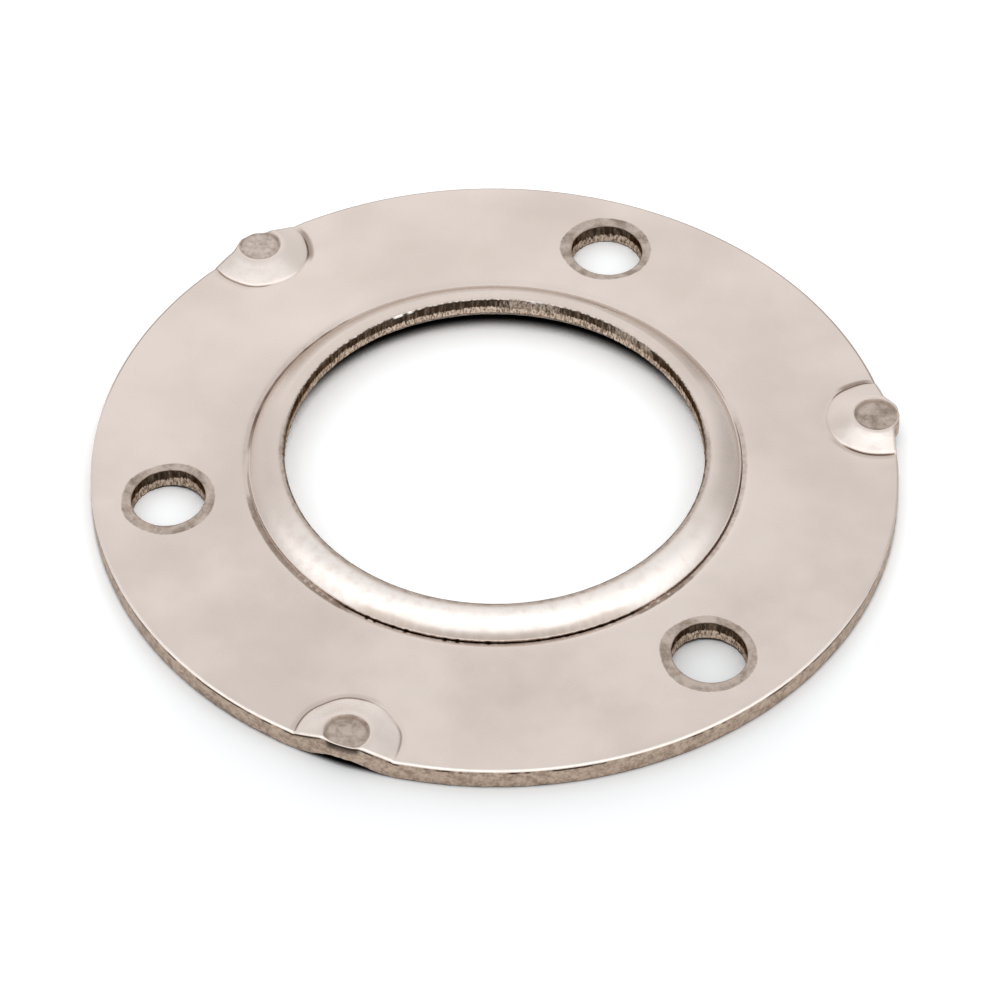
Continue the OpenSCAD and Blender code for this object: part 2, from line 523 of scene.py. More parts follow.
def add_collar(shell):
    """The flared collar, its crease and its coined band; returns its inner and outer rings."""
    angle = angles(BORE_STEPS)
    seen = image_angle(np.cos(angle), np.sin(angle))
    jag = ripple(angle, 3, 60, 260)
    sway = ripple(angle, 5, 3, 20)
    teeth = ripple(angle, 12, 80, 240)
    toothed = window(seen, *TEETH)
    # Painted shade in the crease: how crisp, how dark and where darker still, by direction
    crisp = 0.1 + 0.9 * window(seen, *CREASE_CRISP) - 0.4 * window(seen, *CREASE_FADED)
    strong = window(seen, *CREASE_DARK)
    line = 0.2 + 0.8 * strong + 0.36 * window(seen, *CREASE_DARKER_RIGHT)
    foot_dark_patch = window(seen, *FOOT_DARK_PATCH) * (0.6 + 0.16 * ripple(angle, 14, 8, 60))
    pressed = 0.1 + 0.9 * window(seen, *BAND_PRESSED)
    banded = sum(patches(seen, BAND_PATCHES, 12))
    tan_start = FRONT_TAN_R - 0.14 * sum(window(seen, *end) for end in FRONT_TAN_ENDS)
    tan_start = tan_start + 0.04 * ripple(angle, 13, 20, 120)
    front_tan = window(seen, *FRONT_TAN)
    rings = []
    for radius, height, drop, crease, band in collar_profile():
        past_crease = radius - CREASE_END_R
        r = radius + (0.02 * sway + 0.025 * jag) * min(1.0, crease + 0.5 * band)
        z = height - BAND_DROP * drop * pressed + crease * (1 - crisp) * 0.6 * CREASE_DEPTH
        # Painted tan shade on the front of the flare
        on_tan = front_tan * smooth_step(tan_start - 0.12, tan_start + 0.3, radius)
        near = toothed * (-0.01 < past_crease < 0.2)
        tooth = smooth_step(0.25, 0.6, teeth - 2.5 * max(0.0, past_crease)) * near * strong
        # Painted glints between the crease's teeth and along it
        crease_glints = 0.6 * strong * (0.12 < crease < 0.5) * smooth_step(0.3, 0.8, jag)
        # Painted shade in the crease and in its teeth
        dark = np.maximum(crease * crisp * line, 0.9 * tooth)
        dark = np.maximum(dark, foot_dark_patch * (-0.35 < past_crease < 0.05))
        dark = np.maximum(dark, 0.32 * band * np.minimum(banded, 1.0))
        masks = {
            "matte": np.maximum(band * banded, flare_mask("matte", seen, radius)),
            "dark": np.maximum(dark, flare_mask("dark", seen, radius)),
            "glint": np.maximum(near * smooth_step(0.25, 0.7, -teeth), crease_glints),
            "polish": flare_mask("polish", seen, radius),
            "tan": np.maximum(on_tan * (radius < FLARE_STOP_R), flare_mask("tan", seen, radius)),
        }
        rings.append(shell.add(solid(polar(r, angle), z), **masks))
    shell.bands(rings, TOP)
    return rings[0], rings[-1]


def add_bore(shell, top_ring):
    """The rolled lip and the sheared wall of the centre hole; returns its lower ring."""
    angle = angles(BORE_STEPS)
    seen = image_angle(np.cos(angle), np.sin(angle))
    worn = sum(patches(seen, WORN_PATCHES, 9))
    glint = sum(patches(seen, LIP_GLINTS, 1))
    front = window(seen, *FRONT)
    # Radius, height, and depth in the wall from 0 at the lip to 1 at its foot
    rows = []
    for i in range(1, BORE_ROLL_STEPS + 1):
        a = math.pi / 2 * i / BORE_ROLL_STEPS
        z = COLLAR_TOP - BORE_ROLL * (1 - math.cos(a))
        rows.append((LIP_R - BORE_ROLL * math.sin(a), z, 0.02 * i))
    wall_top = COLLAR_TOP - BORE_ROLL
    for i in range(1, BORE_LEVELS + 1):
        share = i / BORE_LEVELS
        rows.append((BORE_R, wall_top + (BORE_FOOT - wall_top) * share, 0.1 + 0.9 * share))
    teeth = ripple(angle, 7, 90, 330)
    edge = ripple(angle, 8, 20, 120)
    rings = [top_ring]
    for radius, z, depth in rows:
        torn = smooth_step(0.4, 0.7, depth)
        bite = torn * (0.02 + 0.03 * teeth + 0.015 * ripple(angle, 40 + int(20 * depth), 30, 300))
        heights = z + 0.05 * edge * torn * (depth > 0.95)
        on_edge = 0.03 < depth < 0.09
        masks = {"depth": depth, "worn": worn, "glint": glint * on_edge, "matte": front}
        rings.append(shell.add(solid(polar(radius + bite, angle), heights), **masks))
    shell.bands(rings[::-1], WALL)
    return rings[-1]


def add_hollow(shell, lower_ring):
    """Underside of the collar, from the lower edge of the hole to the flat of the sheet."""
    angle = angles(BORE_STEPS)
    corner_r = BORE_R + (BORE_FOOT - DISH_RISE) / math.tan(FLARE_SLOPE)
    hollow_r = corner_r + HOLLOW_RADIUS * math.tan(FLARE_SLOPE / 2)
    rings = [lower_ring]
    for i in range(HOLLOW_STEPS + 1):
        a = FLARE_SLOPE * (1 - i / HOLLOW_STEPS)
        r = hollow_r - HOLLOW_RADIUS * math.sin(a)
        z = DISH_RISE + HOLLOW_RADIUS * (1 - math.cos(a))
        rings.append(shell.add(solid(polar(r, angle), z)))
    shell.bands(rings[::-1], UNDER)
    return rings[-1]


def hole_oval(index):
    """How much wider than a circle a screw hole is, by direction."""
    most, towards = HOLE_OVALS[index]
    return lambda angle: most * np.sin(np.radians(CAMERA_AZIMUTH - towards + 90) - angle) ** 2


def add_screw_hole(shell, index):
    """A screw hole with its coined ring; returns its outer ring above and its ring below."""
    centre = HOLE_CENTRES[index]
    angle = angles(HOLE_STEPS)
    wobble = ripple(angle, 50 + index, 1, 6) + 0.35 * ripple(angle, 60 + index, 12, 60)
    rough_edge = ripple(angle, 70 + index, 8, 50)
    rim = HOLE_R + HOLE_ROLL
    coin = COIN_R - rim
    amount, towards = COIN_SHIFTS[index]
    shift = amount * polar(1.0, np.array([math.radians(CAMERA_AZIMUTH - towards)]))[0]
    # Radius, share of the wobble and the shift, share of the ring's depth, and dullness
    rows = [
        (COIN_FIELD_R, 0, 0, 0),
        (COIN_R + 0.45, 0.35, 0, 0),
        (COIN_R + 0.18, 0.8, 0, 0),
        (COIN_R, 1, 0.02, 0.6),
        (COIN_R - 0.15, 1, 0.25, 1),
        (COIN_R - 0.5 * coin, 0.6, 0.6, 1),
        (COIN_R - 0.85 * coin, 0.3, 0.9, 1),
        (rim, 0, 1, 1),
    ]
    oval = hole_oval(index)(angle)
    above = []
    for radius, sway, drop, matte in rows:
        grown = oval * (radius < COIN_FIELD_R)
        plan = polar(radius + grown + 0.08 * sway * wobble, angle, centre + sway * shift)
        z = web_height(plan[:, 0], plan[:, 1]) - COIN_DEPTH * drop
        above.append(shell.add(solid(plan, z), matte=matte, dark=0.3 * (drop == 1) * matte))
    shell.bands(above[::-1], TOP)

    edge = polar(rim + oval, angle, centre)
    lip = web_height(edge[:, 0], edge[:, 1]) - COIN_DEPTH
    rings = [above[-1]]
    for i in (1, 2):
        a = math.radians(45 * i)
        plan = polar(rim + oval - HOLE_ROLL * math.sin(a), angle, centre)
        z = lip - HOLE_ROLL * (1 - math.cos(a))
        rings.append(shell.add(solid(plan, z), depth=0.04 * i, matte=1.0))
    for i in range(1, HOLE_LEVELS + 1):
        share = i / HOLE_LEVELS
        torn = smooth_step(0.45, 0.75, share)
        bite = torn * (0.03 + 0.03 * rough_edge + 0.02 * ripple(angle, 80 + 9 * index + i, 10, 60))
        plan = polar(HOLE_R + oval + bite, angle, centre)
        low = under_height(plan[:, 0], plan[:, 1])
        z = (lip - HOLE_ROLL) * (1 - share) + low * share
        rings.append(shell.add(solid(plan, z), depth=0.1 + 0.9 * share))
    shell.bands(rings[::-1], WALL)
    return above[0], rings[-1]


def add_rim(shell):
    """The outer edge: roll-over, sheared wall and bevel; returns its upper and lower rings."""
    angle = angles(RIM_STEPS)
    seen = image_angle(np.cos(angle), np.sin(angle))
    roll = rim_roll(angle) / math.sin(RIM_ROLL_END)
    edge = PLATE_R + bulge(angle, BULGES)
    below = bulge(angle, BULGES_BELOW)
    inner = polar(rim_inside(angle), angle)
    crest = top_height(inner[:, 0], inner[:, 1])
    rings = [shell.add(solid(inner, crest), **pad_masks(inner[:, 0], inner[:, 1]))]
    # Painted highlight on the front of the roll-over, weaker at the front pad
    painted_shine = 0.6 * window(seen, 30, 160, 40)
    behind = window(seen, 192, 352, 20)
    pressed = smooth_step(0.1, 0.6, bulge(angle, (0.0, 1.0, 0.0)))
    for i in range(1, RIM_ROLL_STEPS + 1):
        a = RIM_ROLL_END * i / RIM_ROLL_STEPS
        plan = polar(edge - roll * (math.sin(RIM_ROLL_END) - math.sin(a)), angle)
        z = crest - roll * (1 - math.cos(a))
        # Painted shade on the roll-over at the back, and on its outer part at the front pad
        darker_roll = 0.42 * behind * (i > 1) + pressed * (i > 4)
        masks = {"depth": 0.012 * i, "polish": painted_shine * (1 - 0.7 * pressed), "dark": darker_roll}
        rings.append(shell.add(solid(plan, z), **masks))
    shell.bands(rings[:RIM_ROLL_STEPS], TOP)
    shoulder = crest - roll * (1 - math.cos(RIM_ROLL_END))
    foot = polar(edge, angle)
    low = under_height(foot[:, 0], foot[:, 1]) + RIM_BEVEL
    for i in range(1, RIM_LEVELS + 1):
        share = i / RIM_LEVELS
        lumps = grain(solid(polar(edge, angle), 4.0 * share), 0.7, 3)
        chips = grain(solid(polar(edge, angle), 2.0 * share), 0.25, 4)
        bite = 0.05 * lumps + 0.03 * chips - 0.16 * pressed * (i == 1)
        plan = polar(edge + below * smooth_step(0.1, 0.6, share) + bite, angle)
        z = shoulder * (1 - share) + low * share
        # Painted shadow on the wall under the front pad's overhanging dimple
        notch = pressed * (1.0 if i == 1 else 0.6 * (i == 2))
        rings.append(shell.add(solid(plan, z), depth=0.1 + 0.85 * share, dark=notch))
    bottom = polar(rim_below(angle), angle)
    rings.append(shell.add(solid(bottom, under_height(bottom[:, 0], bottom[:, 1])), depth=1.0))
    shell.bands(rings[RIM_ROLL_STEPS - 1:], RIM)
    return rings[0], rings[-1]


def ring_points(radii, steps, centre):
    """Plan points on circles round a centre, each circle turned by half a step against the last."""
    turned = [(r, math.pi / steps * (i % 2)) for i, r in enumerate(radii)]
    return np.concatenate([polar(r, angles(steps) + turn, centre) for r, turn in turned])


def hex_points(pitch):
    """Plan points of a triangular grid that covers the plate."""
    rows = int(PLATE_R / (pitch * math.sqrt(0.75))) + 1
    cols = int(PLATE_R / pitch) + 1
    points = []
    for j in range(-rows, rows + 1):
        for i in range(-cols, cols + 1):
            points.append((pitch * (i + 0.5 * (j % 2)), pitch * math.sqrt(0.75) * j))
    return np.array(points)


def within(plan, loops, gap=0.0):
    """Whether points lie inside the first loop and outside the others, more than gap from each.
    A loop is a centre, and a function that gives its radius by direction."""
    keep = np.ones(len(plan), bool)
    for i, (centre, radius) in enumerate(loops):
        away = plan - centre
        r = np.hypot(away[:, 0], away[:, 1])
        limit = radius(np.arctan2(away[:, 1], away[:, 0]))
        keep &= (r < limit - gap) if i == 0 else (r > limit + gap)
    return keep


def grid_around(pitch, loops, gap, pad_field):
    """Points of a triangular grid between loops, with a round place left out at each pad."""
    plan = hex_points(pitch)
    plan = plan[within(plan, loops, gap)]
    for centre in PAD_CENTRES:
        plan = plan[np.hypot(*(plan - centre).T) > pad_field]
    return plan


def fill_sheet(shell, rings, plan, loops, height, masks, kind, flip):
    """Fills the sheet with triangles between closed rings of points that are already in the shell."""
    xyz = np.concatenate(shell.points)
    fixed = np.concatenate(rings)
    added = shell.add(solid(plan, height(plan[:, 0], plan[:, 1])), **masks(plan[:, 0], plan[:, 1]))
    numbers = np.concatenate([fixed, added])
    everything = np.concatenate([xyz[fixed][:, :2], plan])
    edges = []
    start = 0
    for ring in rings:
        edges += [(start + i, start + (i + 1) % len(ring)) for i in range(len(ring))]
        start += len(ring)
    found = delaunay_2d_cdt([Vector(p) for p in everything.tolist()], edges, [], 0, 1e-6)
    faces = np.array(found[2])
    origins = np.array([o[0] for o in found[3]])
    corner = origins[faces]
    corner = numbers[corner[within(everything[corner].mean(axis=1), loops)]]
    shell.triangles(corner[:, ::-1] if flip else corner, kind)


def no_masks(x, y):
    """The masks of a plain face."""
    return {}


def circle_loop(centre, radius):
    """A circle, as a loop."""
    return np.asarray(centre, float), lambda angle: np.full(len(angle), radius)


def hole_loop(index, radius):
    """The outline of a screw hole, as a loop."""
    oval = hole_oval(index)
    return HOLE_CENTRES[index], lambda angle: radius + oval(angle)


def mean_radius(shell, ring):
    """Mean radius of a ring of the shell's points, from the plate's axis."""
    return np.hypot(*np.concatenate(shell.points)[ring][:, :2].T).mean()


def fill_top(shell, rim_ring, band_ring, hole_rings):
    """The upper face between the rim, the collar and the screw holes, with the pads."""
    loops = [(np.zeros(2), rim_inside), circle_loop((0, 0), mean_radius(shell, band_ring))]
    loops += [circle_loop(centre, COIN_FIELD_R) for centre in HOLE_CENTRES]
    plan = [grid_around(FILL_PITCH, loops, FILL_GAP, PAD_FIELD_R)]
    for index, centre in enumerate(PAD_CENTRES):
        dimple = ring_points(DIMPLE_RADII, PAD_STEPS // 2, dimple_centre(index))
        flank = ring_points(FLANK_RADII, PAD_STEPS // 2, centre)
        foot = ring_points(FOOT_RADII, PAD_STEPS, centre)
        pad = np.concatenate([dimple, flank, foot])
        plan.append(pad[within(pad, loops, PAD_GAP)])
    rings = [rim_ring, band_ring] + hole_rings
    fill_sheet(shell, rings, np.concatenate(plan), loops, top_height, pad_masks, TOP, False)


def fill_underside(shell, foot_ring, hollow_ring, hole_rings):
    """The lower face between the rim, the collar's hollow and the screw holes."""
    loops = [(np.zeros(2), rim_below), circle_loop((0, 0), mean_radius(shell, hollow_ring))]
    loops += [hole_loop(i, HOLE_FOOT_R) for i in range(HOLES)]
    grid = grid_around(UNDER_PITCH, loops, UNDER_GAP, HOLLOW_FIELD_R)
    hollows = [ring_points(HOLLOW_RADII, HOLLOW_RING_STEPS, centre) for centre in PAD_CENTRES]
    hollows = np.concatenate(hollows)
    plan = np.concatenate([grid, hollows[within(hollows, loops, HOLLOW_GAP)]])
    rings = [foot_ring, hollow_ring] + hole_rings
    fill_sheet(shell, rings, plan, loops, under_height, no_masks, UNDER, True)


def plate_shell():
    """The whole plate as one shell, closed but for slivers at the lower edges of the screw holes."""
    shell = Shell()
    lip_ring, band_ring = add_collar(shell)
    hollow_ring = add_hollow(shell, add_bore(shell, lip_ring))
    rim_ring, foot_ring = add_rim(shell)
    holes = [add_screw_hole(shell, i) for i in range(HOLES)]
    fill_top(shell, rim_ring, band_ring, [above for above, below in holes])
    fill_underside(shell, foot_ring, hollow_ring, [below for above, below in holes])
    return shell


# Radius at which streaks that run outwards have the size that is written for them
SPOKE_R = 22.0


class Graph:
    """Short calls for building a material's or the world's nodes."""

    def __init__(self, tree):
        self.tree = tree
        tree.nodes.clear()

    def node(self, kind, **settings):
        made = self.tree.nodes.new(kind)
        for name, value in settings.items():
            setattr(made, name, value)
        return made

    def feed(self, socket, value):
        if isinstance(value, bpy.types.NodeSocket):
            self.tree.links.new(value, socket)
        elif isinstance(value, tuple) and len(value) == 3 and socket.type == "RGBA":
            socket.default_value = (*value, 1.0)
        else:
            socket.default_value = value

    def math(self, operation, *values):
        made = self.node("ShaderNodeMath", operation=operation)
        for socket, value in zip(made.inputs, values):
            self.feed(socket, value)
        return made.outputs[0]

    def mix(self, factor, a, b):
        """One colour turned into another by a factor from 0 to 1."""
        made = self.node("ShaderNodeMix", data_type="RGBA")
        self.feed(made.inputs[0], factor)
        self.feed(made.inputs[6], a)
        self.feed(made.inputs[7], b)
        return made.outputs[2]

    def blend(self, a, b, share):
        """Two values added, with a share of the second and the rest of the first."""
        return self.math("ADD", self.math("MULTIPLY", a, 1 - share), self.math("MULTIPLY", b, share))

    def jitter(self, value, wave, amount):
        """A value moved up and down by a wave from 0 to 1, by half the amount at most."""
        return self.math("ADD", value, self.math("MULTIPLY", self.math("SUBTRACT", wave, 0.5), amount))

    def spread(self, value, low, high, to_low=0.0, to_high=1.0):
        """Maps low..high to to_low..to_high, held at both ends, with soft ends."""
        made = self.node("ShaderNodeMapRange", interpolation_type="SMOOTHSTEP")
        for socket, given in zip(made.inputs, (value, low, high, to_low, to_high)):
            self.feed(socket, given)
        return made.outputs[0]

    def noise(self, place, size, detail=3.0, roughness=0.5, stretch=None):
        """Noise whose features are about size millimetres."""
        made = self.node("ShaderNodeTexNoise")
        if stretch:
            moved = self.node("ShaderNodeMapping")
            self.feed(moved.inputs["Vector"], place)
            moved.inputs["Scale"].default_value = stretch
            place = moved.outputs[0]
        self.feed(made.inputs["Vector"], place)
        made.inputs["Scale"].default_value = 1 / (size * MM)
        made.inputs["Detail"].default_value = detail
        made.inputs["Roughness"].default_value = roughness
        return made.outputs[0]

    def mask(self, name):
        return self.node("ShaderNodeAttribute", attribute_name=name).outputs["Fac"]

    def spokes(self, place, along):
        """Coordinates that change round the plate's axis, and along it or outwards by only a share."""
        flat = self.node("ShaderNodeVectorMath", operation="MULTIPLY")
        self.feed(flat.inputs[0], place)
        flat.inputs[1].default_value = (1, 1, 0)
        unit = self.node("ShaderNodeVectorMath", operation="NORMALIZE")
        self.feed(unit.inputs[0], flat.outputs[0])
        circle = self.node("ShaderNodeVectorMath", operation="SCALE")
        self.feed(circle.inputs[0], unit.outputs[0])
        circle.inputs["Scale"].default_value = SPOKE_R * MM
        drift = self.node("ShaderNodeVectorMath", operation="SCALE")
        self.feed(drift.inputs[0], place)
        drift.inputs["Scale"].default_value = along
        made = self.node("ShaderNodeVectorMath", operation="ADD")
        self.feed(made.inputs[0], circle.outputs[0])
        self.feed(made.inputs[1], drift.outputs[0])
        return made.outputs[0]

    def bump(self, height, depth, strength=1.0, under=None):
        """Bump of a height from 0 to 1 that stands depth millimetres proud."""
        made = self.node("ShaderNodeBump")
        self.feed(made.inputs["Height"], height)
        made.inputs["Distance"].default_value = depth * MM
        made.inputs["Strength"].default_value = strength
        if under:
            self.feed(made.inputs["Normal"], under)
        return made.outputs[0]


def metal(name):
    """A new metallic material; returns it, its graph, its object coordinates and its shader."""
    material = bpy.data.materials.new(name)
    material.use_nodes = True
    graph = Graph(material.node_tree)
    place = graph.node("ShaderNodeTexCoord").outputs["Object"]
    shader = graph.node("ShaderNodeBsdfPrincipled")
    shader.inputs["Metallic"].default_value = 1.0
    output = graph.node("ShaderNodeOutputMaterial")
    graph.tree.links.new(shader.outputs[0], output.inputs[0])
    return material, graph, place, shader


# Colours, in linear light
STEEL_PALE = (0.735, 0.65, 0.598)
STEEL_DEEP = (0.635, 0.553, 0.503)
# Painted highlight
PAINTED_HIGHLIGHT_COLOUR = (0.9, 0.85, 0.812)
# Painted tan shade, where the flare reflects less light
SHADE_TAN = (0.585, 0.495, 0.435)
COINED_PALE = (0.53, 0.45, 0.395)
COINED_DEEP = (0.27, 0.21, 0.17)
# Painted shade: brown where the dark mask is partly on, near black where it is full
BROWN = (0.2, 0.135, 0.1)
PAINTED_SHADE_BLACK = (0.035, 0.022, 0.015)
# Painted glints
PAINTED_GLINT_COLOUR = (0.98, 0.94, 0.9)
# Dark burnish with painted shade in it; also the painted shadow under the front pad's dimple
BURNISH_AND_SHADE = (0.035, 0.024, 0.017)
BURNISH_MID = (0.16, 0.12, 0.09)
BURNISH_WORN = (0.22, 0.175, 0.14)
BURNISH_PALE = (0.46, 0.385, 0.325)
FACE_TINT = (0.97, 0.945, 0.93)
SHEARED_TINT = (0.4, 0.33, 0.28)
FRACTURE = (0.72, 0.6, 0.5)
FRACTURE_DEEP = (0.16, 0.12, 0.09)
ROLL_PALE = (0.38, 0.31, 0.26)
ROLL_DEEP = (0.16, 0.12, 0.095)
EDGE_PALE = (0.5, 0.41, 0.34)
EDGE_DEEP = (0.29, 0.225, 0.18)


def face_steel():
    """Bright, softly clouded face of the sheet, with matte coined zones and dark creases."""
    material, g, place, shader = metal("face_steel")
    clouds = g.noise(place, 16, 3, 0.5)
    mottle = g.noise(place, 3.5, 4, 0.5)
    speck = g.noise(place, 0.22, 2, 0.5)
    steel = g.mix(g.spread(g.blend(clouds, mottle, 0.2), 0.33, 0.66), STEEL_DEEP, STEEL_PALE)
    stain = g.noise(place, 1.5, 5, 0.62)
    coined = g.mix(g.spread(g.blend(stain, speck, 0.15), 0.3, 0.62), COINED_DEEP, COINED_PALE)
    matte = g.spread(g.jitter(g.mask("matte"), g.noise(place, 0.6, 3), 0.5), 0.3, 0.75)
    # Painted highlights on the front of the flare, on the pads' flanks and on the rim's roll-over, broken
    # up by noise
    highlight_mottle = g.spread(g.noise(place, 1.1, 5, 0.6), 0.34, 0.56, 0.55, 1.0)
    steel = g.mix(g.math("MULTIPLY", g.mask("polish"), highlight_mottle), steel, PAINTED_HIGHLIGHT_COLOUR)
    rays = g.noise(g.spokes(place, 0.25), 0.9, 5, 0.6)
    # Painted tan shade on the flare, streaked outwards
    tan = g.math("MULTIPLY", g.mask("tan"), g.spread(rays, 0.25, 0.7, 0.7, 1.0))
    steel = g.mix(tan, steel, SHADE_TAN)
    colour = g.mix(matte, steel, coined)
    # Painted glints
    colour = g.mix(g.mask("glint"), colour, PAINTED_GLINT_COLOUR)
    # The dark mask is mostly painted shade, in creases, dimples, outside the pads' feet, on the back of
    # the collar's foot and on the rim's roll-over; it also darkens dull stretches of the coined band and
    # the inner edges of the coined rings
    colour = g.mix(g.spread(g.mask("dark"), 0.0, 0.7), colour, BROWN)
    colour = g.mix(g.spread(g.mask("dark"), 0.5, 1.0), colour, PAINTED_SHADE_BLACK)
    g.feed(shader.inputs["Base Color"], colour)
    g.feed(shader.inputs["Specular Tint"], FACE_TINT)
    rough = g.math("ADD", g.spread(mottle, 0.3, 0.7, 0.24, 0.34), g.math("MULTIPLY", matte, 0.22))
    g.feed(shader.inputs["Roughness"], rough)
    lumps = g.bump(g.noise(place, 6, 2), 0.01)
    pits = g.math("MULTIPLY", g.noise(place, 0.45, 3), matte)
    g.feed(shader.inputs["Normal"], g.bump(pits, 0.04, 0.7, lumps))
    return material


def sheared_steel():
    """Wall of a punched hole: a dark, streaked band over a pale, torn one; the band's darkness is burnish
    and painted shade, and the wall's foot is painted shade.
    """
    material, g, place, shader = metal("sheared_steel")
    depth = g.mask("depth")
    spots = g.noise(place, 4.5, 2)
    streaks = g.noise(place, 0.34, 4, 0.6, stretch=(1.0, 1.0, 0.1))
    fibres = g.noise(place, 0.2, 4, 0.65, stretch=(1.0, 1.0, 0.4))
    lumps = g.noise(place, 0.5, 3)
    torn = g.spread(g.jitter(g.jitter(depth, fibres, 0.5), spots, 0.4), 0.5, 0.58)
    grooves = g.blend(streaks, fibres, 0.35)
    burnish = g.mix(g.spread(grooves, 0.42, 0.66), BURNISH_AND_SHADE, BURNISH_MID)
    worn = g.jitter(g.mask("worn"), grooves, 2.2)
    scuffed = g.mix(g.spread(fibres, 0.36, 0.62), BURNISH_WORN, BURNISH_PALE)
    burnish = g.mix(g.spread(worn, 0.3, 0.9), burnish, scuffed)
    fracture = g.mix(g.spread(fibres, 0.36, 0.6), FRACTURE_DEEP, FRACTURE)
    colour = g.mix(torn, burnish, fracture)
    darker_roll = g.mix(g.spread(g.noise(place, 0.8, 4, 0.6), 0.36, 0.6), ROLL_DEEP, ROLL_PALE)
    rolled = g.mix(g.mask("matte"), STEEL_DEEP, darker_roll)
    start = g.spread(g.mask("matte"), 0.0, 1.0, 0.035, 0.07)
    below_roll = g.math("SUBTRACT", g.jitter(depth, streaks, 0.15), start)
    colour = g.mix(g.spread(below_roll, -0.02, 0.02, 1.0, 0.0), colour, rolled)
    # Painted glints on the lip of the centre hole
    colour = g.mix(g.mask("glint"), colour, PAINTED_GLINT_COLOUR)
    # Painted shade at the foot of the wall
    colour = g.mix(g.spread(depth, 0.93, 1.0), colour, PAINTED_SHADE_BLACK)
    g.feed(shader.inputs["Base Color"], colour)
    g.feed(shader.inputs["Specular Tint"], SHEARED_TINT)
    g.feed(shader.inputs["Roughness"], g.spread(torn, 0.0, 1.0, 0.38, 0.5))
    tears = g.math("MULTIPLY", g.math("ADD", fibres, lumps), torn)
    g.feed(shader.inputs["Normal"], g.bump(tears, 0.06, 0.8))
    return material


def edge_steel():
    """Outer edge of the plate: pale on its roll-over, then dark in places, then coarse and grey-brown."""
    material, g, place, shader = metal("edge_steel")
    depth = g.mask("depth")
    lumps = g.noise(place, 0.9, 5, 0.65)
    chips = g.noise(place, 0.3, 3)
    tone = g.blend(lumps, chips, 0.4)
    colour = g.mix(g.spread(tone, 0.38, 0.6), EDGE_DEEP, EDGE_PALE)
    under_roll = g.spread(g.math("ABSOLUTE", g.math("SUBTRACT", depth, 0.16)), 0.02, 0.09, 1.0, 0.0)
    scuffed = g.spread(g.noise(place, 1.6, 2), 0.4, 0.55)
    colour = g.mix(g.math("MULTIPLY", under_roll, scuffed), colour, BURNISH_AND_SHADE)
    colour = g.mix(g.spread(depth, 0.08, 0.11, 1.0, 0.0), colour, STEEL_PALE)
    # Painted shadow from the dark mask, under the front pad's dimple
    colour = g.mix(g.mask("dark"), colour, BURNISH_AND_SHADE)
    g.feed(shader.inputs["Base Color"], colour)
    g.feed(shader.inputs["Roughness"], g.spread(depth, 0.08, 0.14, 0.3, 0.5))
    g.feed(shader.inputs["Normal"], g.bump(tone, 0.09, 0.8))
    return material


def under_steel():
    """Underside of the sheet, a little duller than its face."""
    material, g, place, shader = metal("under_steel")
    clouds = g.noise(place, 9, 4, 0.6)
    speck = g.noise(place, 0.5, 4, 0.6)
    g.feed(shader.inputs["Base Color"], g.mix(g.spread(clouds, 0.35, 0.65), COINED_PALE, STEEL_DEEP))
    g.feed(shader.inputs["Roughness"], g.spread(speck, 0.3, 0.7, 0.32, 0.48))
    g.feed(shader.inputs["Normal"], g.bump(speck, 0.02, 0.6))
    return material


def add_camera():
    """The camera at the photograph's viewing angle, turned into the plate's frame."""
    e = math.radians(CAMERA_ELEVATION)
    roll = math.radians(CAMERA_ROLL)
    right = Vector((1, 0, 0))
    up = Vector((0, math.sin(e), math.cos(e)))
    back = Vector((0, -math.cos(e), math.sin(e)))
    rolled_right = right * math.cos(roll) + up * math.sin(roll)
    rolled_up = up * math.cos(roll) - right * math.sin(roll)
    place = back * CAMERA_DISTANCE - rolled_right * CAMERA_AIM[0] + rolled_up * CAMERA_AIM[1]
    turn = Matrix.Rotation(math.radians(CAMERA_AZIMUTH), 3, "Z")
    axes = Matrix((rolled_right, rolled_up, back)).transposed()
    data = bpy.data.cameras.new("camera")
    data.sensor_width = SENSOR_W
    data.lens = CAMERA_LENS
    data.clip_start = 0.01
    data.clip_end = 20.0
    camera = bpy.data.objects.new("camera", data)
    bpy.context.scene.collection.objects.link(camera)
    camera.matrix_world = (turn @ axes).to_4x4()
    camera.location = (turn @ place + Vector((0, 0, SHEET))) * MM
    bpy.context.scene.camera = camera


# The floor: white to the eye, a little darker to the light, and painted nearly black right under an edge
FLOOR_HALF = 2.0
FLOOR_WHITE = (1.1, 1.12, 1.13)
FLOOR_MIRRORED = (1.06, 1.03, 1.0)
FLOOR_GREY = (0.8, 0.82, 0.84)
FLOOR_SHADOW_BLACK = (0.004, 0.004, 0.004)
# Painted shade from ambient occlusion: how far a solid darkens the floor, and the open share of the sky
# at which it is dark and is lit
SHADE_REACH = 4.0
SKY_DARK = 0.21
SKY_LIT = 0.33
# Painted shade: how much darker the floor is in front of the plate, and the radius where that has faded
FRONT_SHADE = 0.2
FRONT_TO = 66.0
# Radii between which this shade starts, so that the floor in the centre hole has none of it
FRONT_FROM = (24.0, 28.0)
# Painted shadow where the sheet covers the floor: rings inside and outside the screw holes, radius
# where each starts, where it is full, where it fades and where it ends
PAINTED_SHADOW_RINGS = [(21.6, 22.9, 27.0, 28.0), (37.6, 38.4, 39.5, 40.3)]


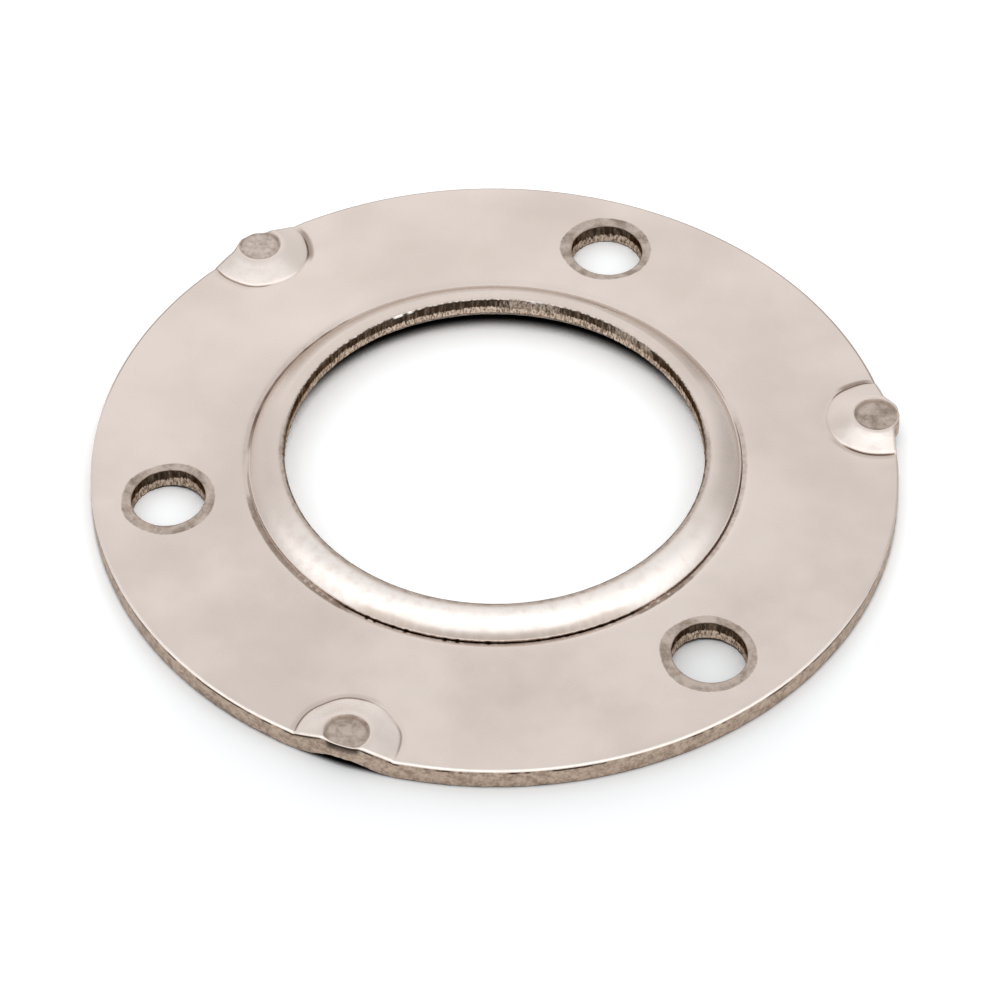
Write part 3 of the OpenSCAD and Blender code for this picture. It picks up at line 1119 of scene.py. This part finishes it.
def add_floor():
    """A plain white floor that keeps the plate's shadow, with shade painted near the plate: by ambient
    occlusion, in front of it and where the sheet covers it.
    """
    half = FLOOR_HALF
    corners = [(-half, -half, 0), (half, -half, 0), (half, half, 0), (-half, half, 0)]
    mesh = bpy.data.meshes.new("floor")
    mesh.from_pydata(corners, [], [(0, 1, 2, 3)])
    floor = bpy.data.objects.new("floor", mesh)
    bpy.context.scene.collection.objects.link(floor)
    material = bpy.data.materials.new("floor_white")
    material.use_nodes = True
    g = Graph(material.node_tree)
    path = g.node("ShaderNodeLightPath")
    paper = g.node("ShaderNodeBsdfDiffuse")
    mirrored = g.mix(path.outputs["Is Glossy Ray"], FLOOR_GREY, FLOOR_MIRRORED)
    place = g.node("ShaderNodeTexCoord").outputs["Object"]
    ahead = g.node("ShaderNodeVectorMath", operation="DOT_PRODUCT")
    g.feed(ahead.inputs[0], place)
    turn = math.radians(CAMERA_AZIMUTH)
    ahead.inputs[1].default_value = (math.sin(turn) / MM, -math.cos(turn) / MM, 0)
    away = g.node("ShaderNodeVectorMath", operation="LENGTH")
    g.feed(away.inputs[0], place)
    radius = g.math("DIVIDE", away.outputs["Value"], MM)
    facing = g.math("DIVIDE", ahead.outputs["Value"], g.math("MAXIMUM", radius, 1.0))
    fading = g.spread(radius, PLATE_R, FRONT_TO, FRONT_SHADE, 0.0)
    front = g.math("MULTIPLY", g.spread(facing, 0.1, 0.9), fading)
    front = g.math("MULTIPLY", front, g.spread(radius, *FRONT_FROM))
    toned = g.node("ShaderNodeVectorMath", operation="SCALE")
    toned.inputs[0].default_value = FLOOR_WHITE
    g.feed(toned.inputs["Scale"], g.math("SUBTRACT", 1.0, front))
    paper_white = g.mix(path.outputs["Is Camera Ray"], mirrored, toned.outputs[0])
    near = g.node("ShaderNodeAmbientOcclusion", samples=8)
    near.inputs["Distance"].default_value = SHADE_REACH * MM
    lit = g.spread(near.outputs["AO"], SKY_DARK, SKY_LIT)
    for start, full, fade, end in PAINTED_SHADOW_RINGS:
        under_sheet_shadow = g.math("MULTIPLY", g.spread(radius, start, full), g.spread(radius, fade, end, 1.0, 0.0))
        lit = g.math("MULTIPLY", lit, g.math("SUBTRACT", 1.0, under_sheet_shadow))
    g.feed(paper.inputs["Color"], g.mix(lit, FLOOR_SHADOW_BLACK, paper_white))
    output = g.node("ShaderNodeOutputMaterial")
    g.tree.links.new(paper.outputs[0], output.inputs[0])
    mesh.materials.append(material)


# Soft light: an even level all round, and lobes with their azimuth and elevation in degrees,
# strength and sharpness; an azimuth is counted as the camera's is
LIGHT_BASE = 0.65
LIGHT_LOBES = [
    (CAMERA_AZIMUTH + 182, 31, 0.5, 8),
    (CAMERA_AZIMUTH + 226, 12, 0.3, 10),
    (CAMERA_AZIMUTH, 78, 0.85, 7),
    (CAMERA_AZIMUTH - 77, 43, 0.8, 8),
    (CAMERA_AZIMUTH + 77, 43, 0.8, 8),
]


def add_light():
    """Soft studio light from all round, brighter overhead, to both sides and low behind the plate."""
    world = bpy.data.worlds.new("studio")
    bpy.context.scene.world = world
    world.use_nodes = True
    g = Graph(world.node_tree)
    way = g.node("ShaderNodeTexCoord").outputs["Generated"]
    level = LIGHT_BASE
    for azimuth, elevation, strength, sharpness in LIGHT_LOBES:
        a = math.radians(azimuth)
        e = math.radians(elevation)
        dot = g.node("ShaderNodeVectorMath", operation="DOT_PRODUCT")
        g.feed(dot.inputs[0], way)
        dot.inputs[1].default_value = (math.sin(a) * math.cos(e), -math.cos(a) * math.cos(e), math.sin(e))
        lobe = g.math("POWER", g.math("MAXIMUM", dot.outputs["Value"], 0.0), float(sharpness))
        level = g.math("ADD", level, g.math("MULTIPLY", lobe, strength))
    path = g.node("ShaderNodeLightPath")
    seen = g.mix(path.outputs["Is Camera Ray"], level, (1.0, 1.0, 1.0))
    background = g.node("ShaderNodeBackground")
    g.feed(background.inputs["Color"], seen)
    output = g.node("ShaderNodeOutputWorld")
    g.tree.links.new(background.outputs[0], output.inputs[0])


bpy.context.scene.view_settings.view_transform = "Standard"
add_camera()
add_light()
add_floor()
plate = plate_shell().build(
    "stamped_base_plate",
    [face_steel(), sheared_steel(), edge_steel(), under_steel()],
)
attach(plate, "root")
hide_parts("base_plate")
